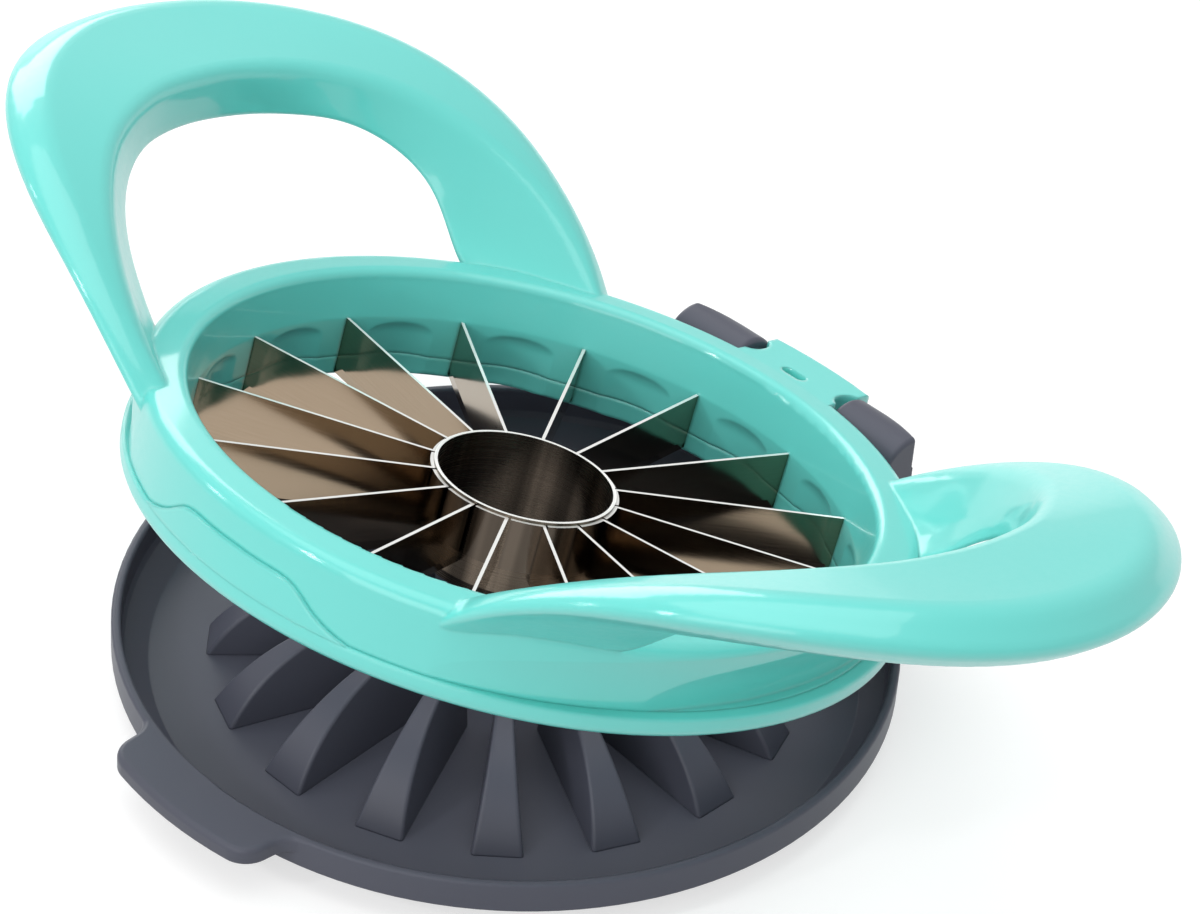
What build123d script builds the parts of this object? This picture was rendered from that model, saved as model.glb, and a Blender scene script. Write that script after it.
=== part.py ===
from build123d import *
from math import cos, dist, radians, sin, sqrt
import os

# Units are millimetres.  The origin is the centre of the tray's underside,
# +Z is up, the hinge lies on the +Y side and the two handles point to +X and -X.
# The cutter is modelled closed over the tray and is then swung open about the hinge.

# ---- driving dimensions ------------------------------------------------------
RING_R = 59.4
RIM_TOP = 9.5
CORER_R = 13.95
SHEET = 0.5
BLADE_COUNT = 16
OPEN_ANGLE = 14.68

# ---- clearances --------------------------------------------------------------
RUNNING_GAP = 0.05
SIDE_GAP = 0.35
POCKET_GAP = 0.3

# ---- cutter ring -------------------------------------------------------------
BAND_R = RING_R + 0.5
PARTING_R = RING_R - 1.8
BORE_R = RING_R - 8.4
RING_CREST_R = BORE_R + 1.3
RING_LOW_Z = RIM_TOP - 0.3
PARTING_IN_Z = RIM_TOP + 3.0
PARTING_OUT_Z = PARTING_IN_Z + 2.8
RING_TOP = PARTING_OUT_Z + 11.3
RING_CREST = RING_TOP + 0.35
RING_EDGE = 2.0
CREST_EDGE = 1.5

# ---- blades and corer --------------------------------------------------------
PITCH = 360 / BLADE_COUNT
BLADE_PHASE = PITCH / 2
BLADE_TOP = RING_TOP - 7.3
BLADE_HEIGHT = 9.7
BLADE_END_R = BORE_R + 2.4
BEVEL = 1.6
CORER_TOP = BLADE_TOP + 0.45
CORER_LENGTH = 14.5
WELD_TAB_ARC = 20.0

# ---- tray --------------------------------------------------------------------
RIM_R = BAND_R + 0.1
RIM_INNER_R = RIM_R - 1.5
RIM_BAND = 4.9
FOOT_R = RIM_R - 6.2
FLOOR_R = RIM_R - 5.6
FLOOR_TOP = 1.6
RIB_OUTER_R = BORE_R - 5.5
RIB_INNER_R = CORER_R + SHEET + 2.75
RIB_TOP = RIM_TOP + 6.0
RIB_OUTER_WIDTH = 7.8
RIB_INNER_WIDTH = 3.0
RIB_DRAFT = 3.0
RIB_EDGE = 0.55
POST_R = CORER_R - 5.45
POST_TOP = RIM_TOP + 3.0
TAB_THICK = 2.6
TAB_FRONT_R = RIM_R + 7.1
TAB_HALF = 14.9

# ---- hinge -------------------------------------------------------------------
HINGE_Y = RIM_R + 2.0
HINGE_Z = RING_TOP - 5.4
HINGE_OUT_R = RIM_R + 8.0
PIN_R = 2.5
PIN_HALF = 19.6
KNUCKLE_R = 5.9
KNUCKLE_IN_X = 10.25
KNUCKLE_OUT_X = 24.0
ARM_ROOT_R = RIM_R - 5.0
POCKET_R = KNUCKLE_R + POCKET_GAP
BOSS_HALF = KNUCKLE_IN_X - SIDE_GAP

# ---- handles -----------------------------------------------------------------
HANDLE_CENTRE_X = RING_R - 9.4
HANDLE_TIP_X = RING_R + 38.6
HANDLE_TOP = RING_TOP + 27.5
HANDLE_CURVE = 0.0062


# ---- helpers -----------------------------------------------------------------
def slab(x0, y0, z0, x1, y1, z1):
    """Axis-aligned block between two corners."""
    block = Box(x1 - x0, y1 - y0, z1 - z0, align=(Align.MIN, Align.MIN, Align.MIN))
    return Pos(x0, y0, z0) * block


def barrel(radius, x0, x1):
    """Cylinder on the hinge axis between two X stations."""
    core = Cylinder(radius, x1 - x0, align=(Align.CENTER, Align.CENTER, Align.MIN))
    return Pos(x0, HINGE_Y, HINGE_Z) * (Rot(0, 90, 0) * core)


def upright(radius, z0, z1):
    """Vertical cylinder on the centre line."""
    core = Cylinder(radius, z1 - z0, align=(Align.CENTER, Align.CENTER, Align.MIN))
    return Pos(0, 0, z0) * core


def around(solid, count, phase=0.0):
    """Copies of a solid spaced evenly about Z."""
    return [Rot(0, 0, phase + i * 360 / count) * solid for i in range(count)]


def swung(solid):
    """Swing a cutter piece open about the hinge axis."""
    about = Pos(0, HINGE_Y, HINGE_Z) * Rot(-OPEN_ANGLE, 0, 0) * Pos(0, -HINGE_Y, -HINGE_Z)
    return about * solid


def toward(start, end, length):
    """Point a given length from one point towards another, less than half way."""
    share = min(length / dist(start, end), 0.45)
    return tuple(a + (b - a) * share for a, b in zip(start, end))


def soft_outline(corners):
    """Closed face through corners given as (point, length rounded on either side)."""
    edges = []
    count = len(corners)
    for i, (point, soft) in enumerate(corners):
        before = corners[i - 1][0]
        after, after_soft = corners[(i + 1) % count]
        leave = toward(point, after, soft)
        edges.append(Bezier(toward(point, before, soft), point, leave))
        edges.append(Line(leave, toward(after, point, after_soft)))
    return make_face(edges)


# ---- base tray ---------------------------------------------------------------
def make_dish():
    """Shallow round dish with an upright rim band over a tapered underside."""
    band_low = RIM_TOP - RIM_BAND
    outside = Plane.XZ * make_face(Polyline(
        (0, 0), (FOOT_R, 0), (RIM_R, band_low), (RIM_R, RIM_TOP), (0, RIM_TOP), close=True,
    ))
    inside = Plane.XZ * make_face(Polyline(
        (0, FLOOR_TOP),
        (FLOOR_R, FLOOR_TOP),
        (RIM_INNER_R - 0.5, band_low - 0.2),
        (RIM_INNER_R, band_low + 0.8),
        (RIM_INNER_R, RIM_TOP + 1),
        (0, RIM_TOP + 1),
        close=True,
    ))
    dish = revolve(outside, Axis.Z) - revolve(inside, Axis.Z)
    lip = dish.edges().filter_by(GeomType.CIRCLE).group_by(Axis.Z)[-1]
    return fillet(lip, 0.5)


def make_tab():
    """Lift tab on the front of the rim, flared where it meets the rim."""
    flare_y = 1.2 - RIM_R
    front_y = -TAB_FRONT_R - 1
    outline = Polyline(
        (21.0, 5.5 - RIM_R), (TAB_HALF + 0.6, flare_y), (TAB_HALF, front_y),
        (-TAB_HALF, front_y), (-TAB_HALF - 0.6, flare_y), (-21.0, 5.5 - RIM_R), close=True,
    )
    plate = Pos(0, 0, RIM_TOP - TAB_THICK) * extrude(make_face(outline), TAB_THICK)
    plate = plate & upright(TAB_FRONT_R, 0, RIM_TOP)
    uprights = plate.edges().filter_by(Axis.Z).group_by(Axis.Y)
    plate = fillet(uprights[0], 4.4)
    uprights = plate.edges().filter_by(Axis.Z).filter_by_position(Axis.Y, flare_y - 0.5, flare_y + 0.5)
    plate = fillet(uprights, 4.0)
    rim = plate.faces().sort_by(Axis.Z)[-1].edges().filter_by(lambda e: e.center().Y < 4 - RIM_R)
    plate = fillet(rim, 0.9)
    return plate - upright(RIM_INNER_R + 0.5, 0, RIM_TOP + 1)


def make_arm():
    """One hinge arm that carries a knuckle, trimmed to the outer curve of the hinge."""
    profile = Plane.YZ * make_face(Polyline(
        (ARM_ROOT_R, 3.4), (RIM_R + 1, 3.4), (RIM_R + 6.6, RIM_TOP + 2),
        (HINGE_Y + KNUCKLE_R, HINGE_Z), (HINGE_Y, HINGE_Z), (ARM_ROOT_R, RIM_TOP + 4.5), close=True,
    ))
    arm = Pos(KNUCKLE_IN_X, 0, 0) * extrude(profile, KNUCKLE_OUT_X - KNUCKLE_IN_X)
    arm -= upright(RIM_R - 0.6, 0, RIM_TOP)
    arm -= upright(BAND_R + 0.6, RIM_TOP, HINGE_Z + 8)
    knuckle = barrel(KNUCKLE_R, KNUCKLE_IN_X, KNUCKLE_OUT_X)
    knuckle = knuckle & upright(HINGE_OUT_R, 0, RING_TOP + 5)
    knuckle = fillet(knuckle.edges(), 0.8)
    arm = (arm & upright(HINGE_OUT_R, 0, RING_TOP + 5)) + knuckle
    return arm - barrel(PIN_R, KNUCKLE_IN_X - 1, PIN_HALF)


def make_base_tray():
    """Dish with its lift tab and hinge arms."""
    arm = make_arm()
    return make_dish() + make_tab() + arm + mirror(arm, Plane.YZ)


def make_push_rib():
    """One curved wedge rib, wide at its outer end and drafted towards its crest."""
    knee_r = 0.55 * RIB_OUTER_R
    side = Plane.XZ * make_face(
        ThreePointArc((RIB_OUTER_R, FLOOR_TOP), (0.846 * RIB_OUTER_R, RIM_TOP + 0.3), (knee_r, RIB_TOP))
        + Polyline((knee_r, RIB_TOP), (RIB_INNER_R, RIB_TOP), (RIB_INNER_R, FLOOR_TOP))
        + Polyline((RIB_INNER_R, FLOOR_TOP), (RIB_OUTER_R, FLOOR_TOP))
    )
    web = extrude(side, RIB_OUTER_WIDTH, both=True)
    draft = (RIB_TOP - FLOOR_TOP) * sin(radians(RIB_DRAFT))

    def footprint(inset):
        inner = RIB_INNER_WIDTH / 2 - draft * inset
        outer = RIB_OUTER_WIDTH / 2 - (draft + 1.2) * inset
        return make_face(Polyline(
            (RIB_INNER_R - 1, -inner), (RIB_OUTER_R, -outer), (RIB_OUTER_R, outer),
            (RIB_INNER_R - 1, inner), close=True,
        ))

    rib = web & loft([Pos(0, 0, FLOOR_TOP) * footprint(0), Pos(0, 0, RIB_TOP) * footprint(1)])
    upper = rib.edges().filter_by(lambda e: e.center().Z > FLOOR_TOP + 0.1)
    return fillet(upper, RIB_EDGE)


def make_core_post():
    """Round post that pushes the core up the tube."""
    post = upright(POST_R, FLOOR_TOP, POST_TOP)
    return fillet(post.edges().group_by(Axis.Z)[-1], 3.0)


def make_hinge_pin():
    """Steel pin held in the knuckles."""
    pin = barrel(PIN_R, -PIN_HALF, PIN_HALF)
    return chamfer(pin.edges().filter_by(GeomType.CIRCLE), 0.4)


# ---- cutter frame ------------------------------------------------------------
# Each row gives one upright cross-section of the +X handle: its bearing about the
# handle centre, radius of the inner edge of the top face, radius of the outermost
# point and its drop, then radius and drop of the inner wall's middle and of its foot.
# Drops are measured down from the top face.  Rows run from the tip round to the ring.
HANDLE_ROWS = [
    (0, 26.9, 51.6, 4.6, 26.7, 4.6, 27.0, 9.0),
    (15, 27.4, 51.7, 4.5, 27.0, 4.6, 27.3, 8.8),
    (30, 29.0, 51.9, 4.4, 28.4, 4.6, 28.3, 8.4),
    (45, 31.3, 52.1, 4.2, 30.4, 4.6, 29.9, 7.8),
    (60, 34.8, 52.3, 3.9, 32.9, 5.0, 32.0, 8.4),
    (75, 38.7, 52.3, 3.3, 35.2, 6.4, 33.3, 10.6),
    (90, 43.3, 52.2, 2.6, 36.6, 10.0, 32.5, 14.2),
    (99, 46.1, 52.8, 2.4, 38.8, 9.6, 34.2, 13.6),
    (107, 48.2, 53.7, 2.6, 42.3, 7.6, 39.2, 11.6),
    (114, 50.4, 55.4, 2.8, 47.0, 4.6, 45.2, 8.0),
]


# Scoops in the ring's wall under each handle: depth, half of the arc in degrees, rise.
SCOOPS = [(2.2, 56.0, 10.4), (3.4, 34.0, 9.2)]


def handle_top(x):
    """Height of a handle's top face over its length."""
    reach = max(HANDLE_TIP_X - abs(x), 0)
    return HANDLE_TOP - HANDLE_CURVE * reach ** 2


def handle_section(row, side):
    """One upright cross-section of the handle loop, on bearing +row or -row."""
    bearing, top_in, far, far_drop, wall, wall_drop, foot, foot_drop = row
    angle = radians(bearing * side)
    plane = Plane(
        origin=(HANDLE_CENTRE_X, 0, 0),
        x_dir=(cos(angle), sin(angle), 0),
        z_dir=(sin(angle), -cos(angle), 0),
    )

    def at(radius, drop):
        return (radius, handle_top(HANDLE_CENTRE_X + radius * cos(angle)) - drop)

    return plane * soft_outline([
        (at(top_in, 0.0), 2.0),
        (at(far - 1.15 * far_drop, 0.0), 2.4),
        (at(far + 0.1 * far_drop, far_drop), 2.2),
        (at(far - 0.9 * far_drop, 2.0 * far_drop), 2.6),
        (at(foot, foot_drop), 0.8),
        (at(wall, wall_drop), 2.0),
    ])


def make_handle():
    """Handle loop on the +X side, trimmed clear of the ring's bore."""
    left = [handle_section(row, 1) for row in reversed(HANDLE_ROWS)]
    right = [handle_section(row, -1) for row in HANDLE_ROWS[1:]]
    return loft(left + right) - upright(RING_CREST_R + 0.5, 0, HANDLE_TOP)


def make_ring():
    """Upper ring: flat land, rounded shoulder and the funnel wall inside."""
    low = PARTING_IN_Z
    out = PARTING_OUT_Z
    round_mid = RING_EDGE * (1 - sqrt(0.5))
    crest_mid = CREST_EDGE * (1 - sqrt(0.5))
    crest_out = RING_CREST_R + CREST_EDGE
    profile = Plane.XZ * make_face(
        Polyline((PARTING_R, low), (PARTING_R, out), (RING_R, out), (RING_R, RING_TOP - RING_EDGE))
        + ThreePointArc(
            (RING_R, RING_TOP - RING_EDGE),
            (RING_R - round_mid, RING_TOP - round_mid),
            (RING_R - RING_EDGE, RING_TOP),
        )
        + Polyline((RING_R - RING_EDGE, RING_TOP), (crest_out, RING_CREST))
        + ThreePointArc(
            (crest_out, RING_CREST),
            (RING_CREST_R + crest_mid, RING_CREST - crest_mid),
            (RING_CREST_R, RING_CREST - CREST_EDGE),
        )
        + Polyline(
            (RING_CREST_R, RING_CREST - CREST_EDGE),
            (BORE_R, BLADE_TOP),
            (BORE_R, low),
            (PARTING_R, low),
        )
    )
    return revolve(profile, Axis.Z)


def make_scoop(depth, reach, rise):
    """Concave cutting tool for the +X wall, deepest at the parting line's middle."""
    tube = (rise ** 2 + depth ** 2) / (2 * depth)
    shift = depth / (1 - cos(radians(reach)))
    tool = Pos(-shift, 0, PARTING_OUT_Z) * Torus(RING_R + tube - depth + shift, tube)
    return tool & slab(CORER_R, -RING_R, PARTING_OUT_Z, BAND_R, RING_R, HANDLE_TOP)


def make_boss():
    """Hinge boss that fills the space between the knuckles."""
    inner_y = BORE_R + 2.5
    belly = 5.5
    profile = Plane.YZ * make_face(
        Polyline(
            (HINGE_Y, HINGE_Z - belly), (inner_y, HINGE_Z - belly), (inner_y, RING_TOP),
            (HINGE_OUT_R, RING_TOP), (HINGE_OUT_R, HINGE_Z),
        )
        + ThreePointArc(
            (HINGE_OUT_R, HINGE_Z),
            (HINGE_Y + 0.7 * belly, HINGE_Z - 0.72 * belly),
            (HINGE_Y, HINGE_Z - belly),
        )
    )
    boss = extrude(profile, BOSS_HALF, both=True) & upright(HINGE_OUT_R, 0, RING_TOP)
    crown = boss.edges().group_by(Axis.Z)[-1].filter_by(lambda e: e.center().Y > HINGE_Y)
    return fillet(crown, 0.7)


def make_arch_recess():
    """Cutting tool for one arched recess in the funnel wall."""
    radius = 14.0
    tool = Cylinder(radius, BLADE_TOP, align=(Align.CENTER, Align.CENTER, Align.MIN))
    tool = fillet(tool.edges().group_by(Axis.Z)[-1], 3.0)
    return Pos(BORE_R + 0.9 - radius, 0, 0) * tool


def make_wave():
    """Raised wave of the lower ring at the front, as a tool open to -Y."""
    half = 27.5
    rise = [(-half, 0.0), (-19.7, 0.4), (-14.6, 2.8), (-11.4, 4.9), (-5.6, 5.45), (0, 5.5)]
    rise = [(x, PARTING_OUT_Z + z) for x, z in rise]
    other = [(-x, z) for x, z in reversed(rise[:-1])]
    low = PARTING_OUT_Z - 2
    wave = Plane.XZ * make_face(
        Spline(*(rise + other))
        + Polyline(other[-1], (half, low), (-half, low), rise[0])
    )
    prism = extrude(wave, HINGE_OUT_R)
    prism &= slab(-RING_R, -HINGE_OUT_R, PARTING_OUT_Z, RING_R, 0, RING_TOP)
    return prism - upright(RING_R - 1.0, 0, RING_TOP)


def make_blade_slots():
    """Slots that hold the outer ends of the blades."""
    low = BLADE_TOP - BLADE_HEIGHT
    tongue = slab(BORE_R - 2, -SHEET / 2, low, BLADE_END_R, SHEET / 2, BLADE_TOP)
    return around(tongue, BLADE_COUNT, BLADE_PHASE)


def make_cutter_frame():
    """Ring, handle loops and hinge boss in one moulding."""
    ring = make_ring()
    for depth, reach, rise in SCOOPS:
        scoop = make_scoop(depth, reach, rise)
        ring = ring - scoop - mirror(scoop, Plane.YZ)
    ring -= make_wave()
    handle = make_handle()
    frame = ring + handle + mirror(handle, Plane.YZ)
    frame += make_boss()
    for side in (1, -1):
        x0, x1 = sorted((side * BOSS_HALF, side * (KNUCKLE_OUT_X + SIDE_GAP)))
        frame -= barrel(POCKET_R, x0, x1)
        frame -= slab(x0, HINGE_Y, 0, x1, HINGE_Y + 2 * POCKET_R, HANDLE_TOP)
    for side in (1, -1):
        relief = Pos(side * (BOSS_HALF + 0.7), HINGE_Y - 0.4, HINGE_Z) * extrude(Ellipse(2.4, 3.0), 12)
        frame -= relief
    frame -= barrel(PIN_R + RUNNING_GAP, -PIN_HALF, PIN_HALF)
    frame -= Pos(0, HINGE_Y - 2.3, RING_TOP - 1.4) * extrude(SlotOverall(4.6, 2.1), 4)
    for recess in around(make_arch_recess(), BLADE_COUNT):
        frame -= recess
    for slot in make_blade_slots():
        frame -= slot
    return frame


def make_blade_retaining_ring():
    """Lower ring that closes the blade slots from below."""
    heel = (BAND_R - 2.8, RING_LOW_Z + 2.1)
    side = (BAND_R, RING_LOW_Z + 4.5)
    profile = Plane.XZ * make_face(
        Polyline(
            (PARTING_R, PARTING_IN_Z),
            (BORE_R, PARTING_IN_Z),
            (BORE_R, RING_LOW_Z + 0.5),
            (BORE_R + 0.5, RING_LOW_Z),
            (BORE_R + 2.6, RING_LOW_Z + 0.3),
            heel,
        )
        + Spline(heel, (BAND_R - 0.7, RING_LOW_Z + 3.1), side, tangents=[(1, 0.5), (0, 1)])
        + Polyline(
            side,
            (BAND_R, PARTING_OUT_Z - 0.2),
            (BAND_R - 0.2, PARTING_OUT_Z),
            (PARTING_R, PARTING_OUT_Z),
            (PARTING_R, PARTING_IN_Z),
        )
    )
    ring = revolve(profile, Axis.Z)
    ring += make_wave() & upright(BAND_R, 0, RING_TOP)
    for recess in around(make_arch_recess(), BLADE_COUNT):
        ring -= recess
    for slot in make_blade_slots():
        ring -= slot
    return ring


# ---- steel pieces ------------------------------------------------------------
def make_corer_tube():
    """Thin tube that cuts the core, ground sharp at its lower edge."""
    low = CORER_TOP - CORER_LENGTH
    inner = CORER_R - SHEET
    profile = Plane.XZ * make_face(Polyline(
        (inner, CORER_TOP), (CORER_R, CORER_TOP), (CORER_R, low + BEVEL),
        (inner + 0.06, low), (inner, low), close=True,
    ))
    return revolve(profile, Axis.Z)


def make_blade():
    """Flat blade with a tab bent round the corer, cutting edge downwards."""
    half = SHEET / 2
    low = BLADE_TOP - BLADE_HEIGHT
    profile = Plane.YZ * make_face(Polyline(
        (half, BLADE_TOP), (half, low + BEVEL), (0.03, low), (-0.03, low),
        (-half, low + BEVEL), (-half, BLADE_TOP), close=True,
    ))
    start = CORER_R + 0.1
    strip = Pos(start, 0, 0) * extrude(profile, BLADE_END_R - start)
    strip -= upright(CORER_R, 0, CORER_TOP)
    tab_low = low + BEVEL
    sleeve = upright(CORER_R + SHEET, tab_low, BLADE_TOP) - upright(CORER_R, 0, CORER_TOP)
    reach = 2 * CORER_R
    turn = radians(-WELD_TAB_ARC)
    keep = Polyline((0, 0), (reach, half), (reach * cos(turn), reach * sin(turn)), close=True)
    return strip + (sleeve & extrude(make_face(keep), CORER_TOP))


# ---- build and write ---------------------------------------------------------
pieces = {
    "base_tray": make_base_tray(),
    "core_post": make_core_post(),
    "hinge_pin": make_hinge_pin(),
    "cutter_frame": swung(make_cutter_frame()),
    "blade_retaining_ring": swung(make_blade_retaining_ring()),
    "corer_tube": swung(make_corer_tube()),
}
for number, rib in enumerate(around(make_push_rib(), BLADE_COUNT), start=1):
    pieces["push_rib_%02d" % number] = rib
for number, blade in enumerate(around(make_blade(), BLADE_COUNT, BLADE_PHASE), start=1):
    pieces["blade_%02d" % number] = swung(blade)

os.makedirs("parts", exist_ok=True)
for name, shape in pieces.items():
    export_step(shape, "parts/%s.step" % name)
    box = shape.bounding_box()
    print(name, len(shape.solids()), "solids", round(shape.volume, 1), "mm3", box.min, box.max)
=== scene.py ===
# %% [markdown]
# # An apple slicer that presses through, dressed around its CAD frame
#
# The real tool has two mouldings and a fan of steel. A glossy turquoise ring with two
# loop handles carries sixteen thin blades round a core tube, and it is hinged over a dark
# tray whose ribs push the wedges out between the blades. The CAD pieces already have the
# right shape and size, so they stay where they are, and this lesson gives them their
# finishes, the camera, the floor and the light. All lengths are in metres.

# %% Load the frame
import math

import bpy
from mathutils import Matrix, Vector

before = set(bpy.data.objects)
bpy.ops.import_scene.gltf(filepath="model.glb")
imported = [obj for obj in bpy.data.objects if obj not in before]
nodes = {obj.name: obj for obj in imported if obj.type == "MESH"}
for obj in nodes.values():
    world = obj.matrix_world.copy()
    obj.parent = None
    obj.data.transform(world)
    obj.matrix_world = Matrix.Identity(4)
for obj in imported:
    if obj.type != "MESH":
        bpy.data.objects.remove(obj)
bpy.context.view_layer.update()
MM = 0.001

# %% [markdown]
# ## The camera
#
# A product picture of a flat tool is taken with a long lens from well above, so that the
# round parts stay nearly round. The camera is described by where it looks from (azimuth and
# elevation round the tool), how far it stands back and how much it is tilted in its mount.

# %% Place the camera
AZIMUTH = math.radians(42.53)
ELEVATION = math.radians(36.86)
ROLL = math.radians(4.89)
DISTANCE = 644.09 * MM
SIDE_STEP = 14.43 * MM
RISE = 29.37 * MM
LIFT = 3.0 * MM

back = Vector((
    math.sin(AZIMUTH) * math.cos(ELEVATION),
    -math.cos(AZIMUTH) * math.cos(ELEVATION),
    math.sin(ELEVATION),
))
level = Vector((math.cos(AZIMUTH), math.sin(AZIMUTH), 0))
upward = back.cross(level)
right = math.cos(ROLL) * level + math.sin(ROLL) * upward
above = -math.sin(ROLL) * level + math.cos(ROLL) * upward

camera_data = bpy.data.cameras.new("camera")
camera_data.sensor_width = 36
camera_data.lens = 126.29
camera_data.clip_start = 0.01
camera = bpy.data.objects.new("camera", camera_data)
bpy.context.scene.collection.objects.link(camera)
place = back * DISTANCE + above * RISE + right * SIDE_STEP + Vector((0, 0, LIFT))
turn = Matrix((right, above, back)).transposed().to_4x4()
camera.matrix_world = Matrix.Translation(place) @ turn
bpy.context.scene.camera = camera
print("camera at", [round(v, 3) for v in place], "lens", camera_data.lens, "mm")

# %% [markdown]
# ## Colours and nodes
#
# Colours are picked as sRGB hex codes, because that is what a swatch gives, and shaders want
# linear numbers. One function turns the one into the other. A second one adds a node, sets
# it up and links it, so that every material below reads as a short list.

# %% Helpers for colours and nodes
def srgb(code):
    """Turn a hex swatch such as #6ADCD0 into a linear colour."""
    channels = [int(code[i:i + 2], 16) / 255 for i in (1, 3, 5)]
    linear = [c / 12.92 if c <= 0.04045 else ((c + 0.055) / 1.055) ** 2.4 for c in channels]
    return (*linear, 1.0)


def add(tree, kind, links=None, inputs=None, **settings):
    """Add a node with its settings, its plain input values and its links."""
    node = tree.nodes.new(kind)
    for name, value in settings.items():
        setattr(node, name, value)
    for name, value in (inputs or {}).items():
        node.inputs[name].default_value = value
    for name, source in (links or {}).items():
        tree.links.new(source, node.inputs[name])
    return node


def new_material(name, **plain):
    """A material with an empty Principled shader; plain values go on its sockets."""
    material = bpy.data.materials.new(name)
    material.use_nodes = True
    tree = material.node_tree
    tree.nodes.clear()
    shader = add(tree, "ShaderNodeBsdfPrincipled", inputs=plain)
    add(tree, "ShaderNodeOutputMaterial", {"Surface": shader.outputs["BSDF"]})
    return material, tree, shader


print("white swatch:", [round(v, 2) for v in srgb("#FFFFFF")])

# %% [markdown]
# ## Moulded edges
#
# A mould can't leave a knife edge, so every corner of the real mouldings is rounded, by about
# 0.4 mm on the tray and 0.9 mm on the softer frame. That small round is what catches the light
# as a bright line. The CAD pieces keep some corners sharp, so the shader rounds the light across
# each corner with a Bevel node, and the surface's own bumps are laid on top of that. Only the
# shading is round: the mesh keeps its corner.
#
# ## Gloss ABS for the frame
#
# The frame and its lower ring are moulded ABS with a polished mould surface. ABS has an IOR
# of about 1.53. The gloss is high, but a real moulding is never a perfect mirror: the surface
# has a soft swell of a few millimetres, left where the plastic shrank as it cooled, and the
# colour drifts a little with wall thickness. Fine handling scratches break up the gloss.
#
# A thin clear coat carries the sharp highlights. A Layer Weight node lowers it where the surface
# turns away. That is a choice and not physics: in a white room, full gloss at a grazing angle
# would draw a pale rim round every form.

# %% Make the turquoise moulding material
ABS_EDGE_ROUND = 0.9 * MM
COAT_SHARE = 2.4


def make_turquoise_abs():
    material, tree, shader = new_material(
        "moulded_gloss_abs_turquoise",
        **{"IOR": 1.53, "Subsurface Weight": 0.10, "Subsurface Scale": 1.5 * MM,
           "Subsurface Radius": (1.0, 1.0, 1.0), "Coat Roughness": 0.06,
           "Specular IOR Level": 0.28},
    )
    where = add(tree, "ShaderNodeTexCoord")
    drift = add(tree, "ShaderNodeTexNoise", {"Vector": where.outputs["Object"]},
                {"Scale": 1 / (60 * MM), "Detail": 2.0, "Roughness": 0.4})
    tint = add(tree, "ShaderNodeMix", {"Factor": drift.outputs["Fac"]}, data_type="RGBA")
    tint.inputs["A"].default_value = srgb("#5ECBC3")
    tint.inputs["B"].default_value = srgb("#69D2CA")
    rounded = add(tree, "ShaderNodeBevel", inputs={"Radius": ABS_EDGE_ROUND}, samples=6)
    swell = add(tree, "ShaderNodeTexNoise", {"Vector": where.outputs["Object"]},
                {"Scale": 1 / (9 * MM), "Detail": 1.0, "Roughness": 0.3})
    dents = add(tree, "ShaderNodeBump",
                {"Height": swell.outputs["Fac"], "Normal": rounded.outputs["Normal"]},
                {"Strength": 0.12, "Distance": 0.15 * MM})
    scuffs = add(tree, "ShaderNodeTexNoise", {"Vector": where.outputs["Object"]},
                 {"Scale": 1 / (1.2 * MM), "Detail": 5.0, "Roughness": 0.7})
    wear = add(tree, "ShaderNodeMapRange", {"Value": scuffs.outputs["Fac"]},
               {"From Min": 0.35, "From Max": 0.7, "To Min": 0.28, "To Max": 0.36})
    slant = add(tree, "ShaderNodeLayerWeight", inputs={"Blend": 0.5})
    gloss = add(tree, "ShaderNodeMapRange", {"Value": slant.outputs["Facing"]},
                {"From Min": 0.45, "From Max": 0.95, "To Min": 0.42, "To Max": 0.08})
    film = add(tree, "ShaderNodeMath", {0: gloss.outputs["Result"]}, {1: COAT_SHARE},
               operation="MULTIPLY")
    tree.links.new(film.outputs["Value"], shader.inputs["Coat Weight"])
    tree.links.new(tint.outputs["Result"], shader.inputs["Base Color"])
    tree.links.new(wear.outputs["Result"], shader.inputs["Roughness"])
    tree.links.new(dents.outputs["Normal"], shader.inputs["Normal"])
    tree.links.new(rounded.outputs["Normal"], shader.inputs["Coat Normal"])
    return material


turquoise_abs = make_turquoise_abs()
print("made", turquoise_abs.name)

# %% [markdown]
# ## Satin polypropylene for the tray
#
# The tray is moulded in a mould whose steel was spark-eroded, which leaves an even fine grain
# that scatters the light. The real grain is about 0.1 mm; it is drawn a little coarser, at
# 0.25 mm, so that it still shows as a soft satin and not as noise.

# %% Make the charcoal moulding material
PP_EDGE_ROUND = 0.4 * MM


def make_charcoal_pp():
    material, tree, shader = new_material(
        "moulded_satin_pp_charcoal", **{"IOR": 1.49, "Specular IOR Level": 0.32})
    where = add(tree, "ShaderNodeTexCoord")
    drift = add(tree, "ShaderNodeTexNoise", {"Vector": where.outputs["Object"]},
                {"Scale": 1 / (45 * MM), "Detail": 3.0})
    tint = add(tree, "ShaderNodeMix", {"Factor": drift.outputs["Fac"]}, data_type="RGBA")
    tint.inputs["A"].default_value = srgb("#454752")
    tint.inputs["B"].default_value = srgb("#4F515D")
    grain = add(tree, "ShaderNodeTexNoise", {"Vector": where.outputs["Object"]},
                {"Scale": 1 / (0.25 * MM), "Detail": 2.0, "Roughness": 0.6})
    rounded = add(tree, "ShaderNodeBevel", inputs={"Radius": PP_EDGE_ROUND}, samples=6)
    tooth = add(tree, "ShaderNodeBump",
                {"Height": grain.outputs["Fac"], "Normal": rounded.outputs["Normal"]},
                {"Strength": 0.25, "Distance": 0.02 * MM})
    wear = add(tree, "ShaderNodeMapRange", {"Value": drift.outputs["Fac"]},
               {"To Min": 0.38, "To Max": 0.46})
    tree.links.new(tint.outputs["Result"], shader.inputs["Base Color"])
    tree.links.new(wear.outputs["Result"], shader.inputs["Roughness"])
    tree.links.new(tooth.outputs["Normal"], shader.inputs["Normal"])
    return material


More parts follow.
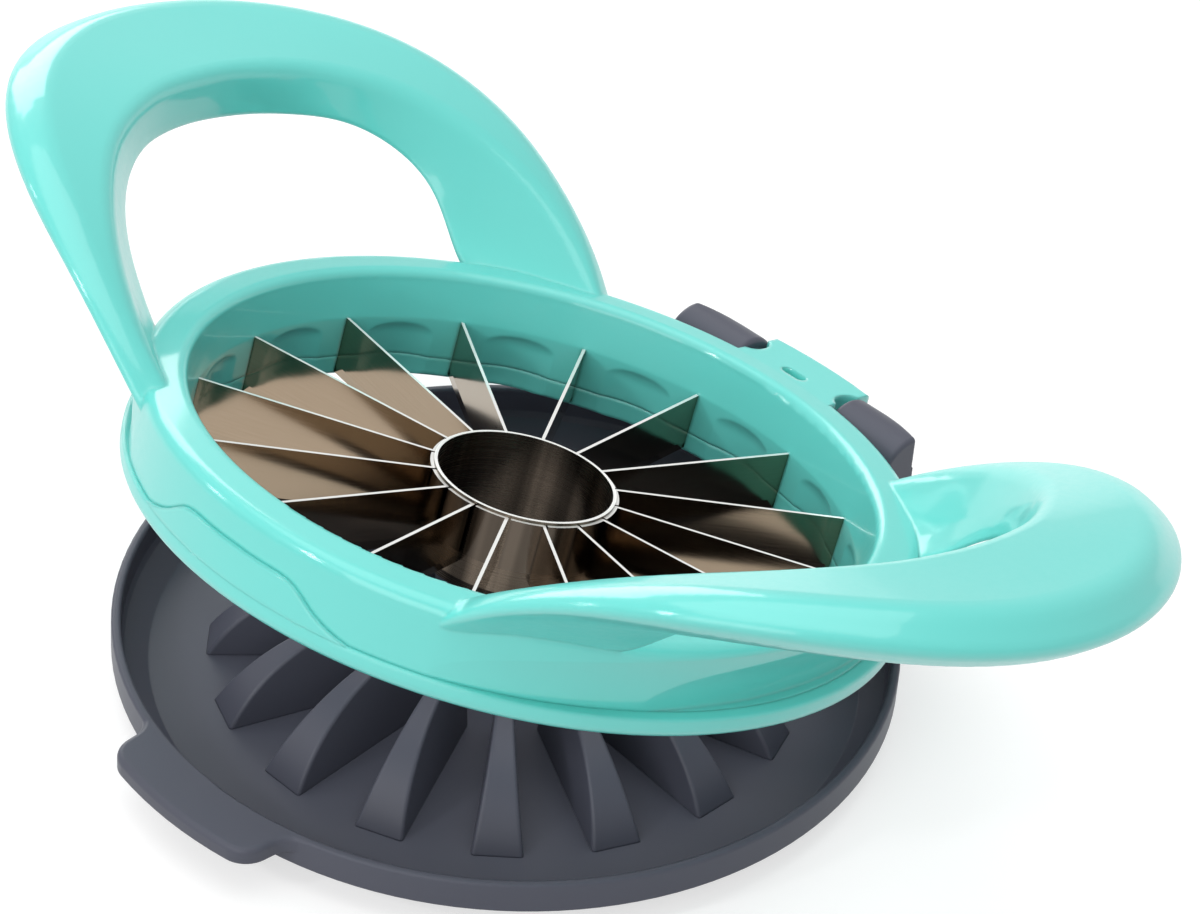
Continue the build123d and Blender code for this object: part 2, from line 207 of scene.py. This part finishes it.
charcoal_pp = make_charcoal_pp()
print("made", charcoal_pp.name)

# %% [markdown]
# ## Cold-rolled stainless steel
#
# The blades are punched from bright cold-rolled strip, 0.5 mm thick, and the tube is rolled
# from the same strip. The sides are close to a dark mirror and keep faint rolling lines about
# 0.3 mm apart; their warm brown colour is a painted reflection of warm surroundings. The upper
# edges are sheared, and the faces that look up carry a painted highlight: a near-white colour
# that stands in for the bright sky they mirror. The shader tells the two apart by the direction
# of the surface: the cutter leans by the opening angle, so its own upright is a leaning direction.
# The direction is read from the piece itself and not from the world, so it stays right when the
# cutter swings. The painted highlight is also made less metallic than real steel, which keeps it
# light from all sides.
#
# Rolling lines run along each blade, outwards from the middle. In the cutter's own frame that
# is the direction of growing radius, so the lines are drawn in radius and height. Close to the
# tube the steel is given dark and brown bands round the axis, a painted reflection of the dark
# tray and blades mirrored there.

# %% Make the steel materials
OPEN_ANGLE = math.radians(14.68)
LINE_STRETCH = 0.04
HINGE = Vector((0, 62.0 * MM, 21.2 * MM))
close_up = Matrix.Rotation(OPEN_ANGLE, 3, "X")
cutter_up = close_up.transposed() @ Vector((0, 0, 1))


def cutter_frame_vector(tree):
    """Place in the cutter's own frame, as if it were closed over the tray."""
    where = add(tree, "ShaderNodeTexCoord")
    closed = add(tree, "ShaderNodeMapping", {"Vector": where.outputs["Object"]})
    closed.inputs["Rotation"].default_value = (OPEN_ANGLE, 0, 0)
    closed.inputs["Location"].default_value = HINGE - close_up @ HINGE
    return closed.outputs["Vector"]


def make_steel(name, roughness, **plain):
    """Bright stainless; also gives its radius, rolling lines and bands round the axis."""
    material, tree, shader = new_material(name, **{"Metallic": 1.0}, **plain)
    place = add(tree, "ShaderNodeSeparateXYZ", {"Vector": cutter_frame_vector(tree)})
    flat = add(tree, "ShaderNodeCombineXYZ", {"X": place.outputs["X"], "Y": place.outputs["Y"]})
    radius = add(tree, "ShaderNodeVectorMath", {"Vector": flat.outputs["Vector"]},
                 operation="LENGTH")
    slow = add(tree, "ShaderNodeMath", {0: radius.outputs["Value"]}, {1: LINE_STRETCH},
               operation="MULTIPLY")
    strip = add(tree, "ShaderNodeCombineXYZ", {"X": slow.outputs["Value"], "Y": place.outputs["Z"]})
    lines = add(tree, "ShaderNodeTexNoise", {"Vector": strip.outputs["Vector"]},
                {"Scale": 1 / (0.3 * MM), "Detail": 3.0})
    bearing = add(tree, "ShaderNodeVectorMath", {"Vector": flat.outputs["Vector"]},
                  operation="NORMALIZE")
    bands = add(tree, "ShaderNodeTexNoise", {"Vector": bearing.outputs["Vector"]},
                {"Scale": 3.2, "Detail": 2.0})
    scratches = add(tree, "ShaderNodeBump", {"Height": lines.outputs["Fac"]},
                    {"Strength": 0.15, "Distance": 0.003 * MM})
    wear = add(tree, "ShaderNodeMapRange", {"Value": lines.outputs["Fac"]},
               {"From Min": 0.3, "From Max": 0.7,
                "To Min": roughness * 0.85, "To Max": roughness * 1.2})
    tree.links.new(wear.outputs["Result"], shader.inputs["Roughness"])
    tree.links.new(scratches.outputs["Normal"], shader.inputs["Normal"])
    traits = {
        "radius": radius.outputs["Value"],
        "lines": lines.outputs["Fac"],
        "bands": bands.outputs["Fac"],
    }
    return material, tree, shader, traits


def blend(tree, factor, low, high):
    """Mix two colours, given as swatches or as sockets."""
    mix = add(tree, "ShaderNodeMix", {"Factor": factor}, data_type="RGBA")
    for name, colour in (("A", low), ("B", high)):
        if isinstance(colour, str):
            mix.inputs[name].default_value = srgb(colour)
        else:
            tree.links.new(colour, mix.inputs[name])
    return mix.outputs["Result"]


def paint_upward_highlight(tree, shader, side):
    """Lay a painted highlight, near white, over the side colour where the faces look up."""
    where = add(tree, "ShaderNodeTexCoord")
    facing = add(tree, "ShaderNodeVectorMath", {"Vector": where.outputs["Normal"]},
                 operation="DOT_PRODUCT")
    facing.inputs[1].default_value = cutter_up
    # Painted highlight: faces that look up along the cutter's upright get a near-white colour.
    upward_highlight = add(tree, "ShaderNodeMapRange", {"Value": facing.outputs["Value"]},
               {"From Min": 0.5, "From Max": 0.8})
    # Less metallic under the painted highlight, so that it stays light from all sides.
    highlight_metallic = add(tree, "ShaderNodeMapRange", {"Value": upward_highlight.outputs["Result"]},
                {"To Min": 1.0, "To Max": 0.4})
    # F4F3F0 is the colour of the painted highlight.
    colour = blend(tree, upward_highlight.outputs["Result"], side, "#F4F3F0")
    tree.links.new(colour, shader.inputs["Base Color"])
    tree.links.new(highlight_metallic.outputs["Result"], shader.inputs["Metallic"])


def paint_reflection_bands(tree, bands, dark, light):
    """Painted reflection: dark and brown bands round the tube axis, for the dark surroundings
    mirrored there.
    """
    spread = add(tree, "ShaderNodeMapRange", {"Value": bands},
                 {"From Min": 0.40, "From Max": 0.62})
    return blend(tree, spread.outputs["Result"], dark, light)


def make_rolled_strip():
    material, tree, shader, traits = make_steel("cold_rolled_stainless_strip", 0.13)
    # Painted reflection: the warm brown of the sides stands in for warm surroundings mirrored in
    # them; the shade varies with the rolling lines.
    warm_reflection_and_lines = blend(tree, traits["lines"], "#93826D", "#A08F7C")
    # Painted reflection: dark and brown bands near the tube stand in for the dark tray and blades
    # mirrored there.
    reflection_bands = paint_reflection_bands(tree, traits["bands"], "#231F1B", "#5F564D")
    away = add(tree, "ShaderNodeMapRange", {"Value": traits["radius"]},
               {"From Min": 14.6 * MM, "From Max": 15.6 * MM})
    paint_upward_highlight(tree, shader, blend(tree, away.outputs["Result"], reflection_bands, warm_reflection_and_lines))
    return material


def make_brushed_tube():
    material, tree, shader, traits = make_steel(
        "brushed_stainless_tube", 0.26, **{"Anisotropic": 0.8, "Anisotropic Rotation": 0.25})
    around_axis = add(tree, "ShaderNodeTangent", direction_type="RADIAL", axis="Z")
    tree.links.new(around_axis.outputs["Tangent"], shader.inputs["Tangent"])
    # Painted reflection: dark and brown bands round the tube stand in for the dark tray and blades
    # mirrored in it.
    reflection_bands = paint_reflection_bands(tree, traits["bands"], "#3C3630", "#75695D")
    paint_upward_highlight(tree, shader, reflection_bands)
    return material


rolled_strip = make_rolled_strip()
brushed_tube = make_brushed_tube()
print("made", rolled_strip.name, "and", brushed_tube.name)

# %% [markdown]
# ## Dressing the CAD pieces
#
# A CAD piece keeps its mesh and only gets a better material in its slot.

# %% Give each piece its finish
FINISHES = {
    "base_tray": charcoal_pp,
    "core_post": charcoal_pp,
    "push_rib": charcoal_pp,
    "cutter_frame": turquoise_abs,
    "blade_retaining_ring": turquoise_abs,
    "corer_tube": brushed_tube,
    "hinge_pin": rolled_strip,
    "blade": rolled_strip,
}
for name, piece in nodes.items():
    kind = name.rstrip("0123456789").rstrip("_")
    finish = FINISHES[kind]
    for slot in piece.material_slots:
        slot.material = finish
print("dressed", len(nodes), "pieces")

# %% [markdown]
# ## Floor and light
#
# The setting is plain white, with only a faint soft shadow under the tool. The floor adds a
# little of its own white for the camera and for mirror reflections only, so that it reads as
# paper white with no extra lamp, and the shadow under the tool still shows.
#
# The world is an even white tent, a little brighter overhead. Large soft lamps give the forms
# their shading, and two small ones give the gloss its sharp highlights.

# %% Lay the floor
FLOOR_OWN_WHITE = 0.60


def make_floor():
    bpy.ops.mesh.primitive_plane_add(size=8)
    floor = bpy.context.object
    floor.name = "floor"
    material, tree, shader = new_material(
        "white_paper", **{"Roughness": 0.9, "Specular IOR Level": 0.1})
    shader.inputs["Base Color"].default_value = srgb("#B4B4B4")
    shader.inputs["Emission Color"].default_value = (1, 1, 1, 1)
    ray = add(tree, "ShaderNodeLightPath")
    seen = add(tree, "ShaderNodeMath",
               {0: ray.outputs["Is Camera Ray"], 1: ray.outputs["Is Glossy Ray"]},
               operation="MAXIMUM")
    own_white = add(tree, "ShaderNodeMath", {0: seen.outputs["Value"]}, {1: FLOOR_OWN_WHITE},
                    operation="MULTIPLY")
    tree.links.new(own_white.outputs["Value"], shader.inputs["Emission Strength"])
    floor.data.materials.append(material)
    return floor


floor = make_floor()
print("laid", floor.name)

# %% Light the tool
TENT_AT_HORIZON = 0.62
TENT_OVERHEAD = 0.78
world = bpy.data.worlds.new("studio")
bpy.context.scene.world = world
world.use_nodes = True
sky = world.node_tree
sky.nodes["Background"].inputs["Color"].default_value = (1, 1, 1, 1)
direction = add(sky, "ShaderNodeTexCoord")
height = add(sky, "ShaderNodeSeparateXYZ", {"Vector": direction.outputs["Generated"]})
tent = add(sky, "ShaderNodeMapRange", {"Value": height.outputs["Z"]},
           {"To Min": TENT_AT_HORIZON, "To Max": TENT_OVERHEAD})
sky.links.new(tent.outputs["Result"], sky.nodes["Background"].inputs["Strength"])
bpy.context.scene.view_settings.view_transform = "Standard"


def add_softbox(name, spot, size, watts):
    """A square area lamp that faces the tool."""
    lamp = bpy.data.lights.new(name, "AREA")
    lamp.shape = "SQUARE"
    lamp.size = size
    lamp.energy = watts
    holder = bpy.data.objects.new(name, lamp)
    holder.location = spot
    aim = Vector((0, 0, 0.03)) - Vector(spot)
    holder.rotation_euler = aim.to_track_quat("-Z", "Y").to_euler()
    bpy.context.scene.collection.objects.link(holder)
    return holder


# Name, place and side in metres, power in watts.
SOFTBOXES = [
    ("overhead_bank", (-0.05, 0.05, 1.00), 1.00, 4.0),
    ("rear_bank", (-1.00, 0.50, 0.50), 0.70, 5.2),
    ("front_bank", (0.45, -1.25, 0.60), 1.00, 6.6),
    ("left_softbox", (-0.95, -0.75, 0.60), 0.16, 1.0),
    ("front_softbox", (-0.30, -1.10, 0.85), 0.14, 2.6),
]
for softbox in SOFTBOXES:
    add_softbox(*softbox)
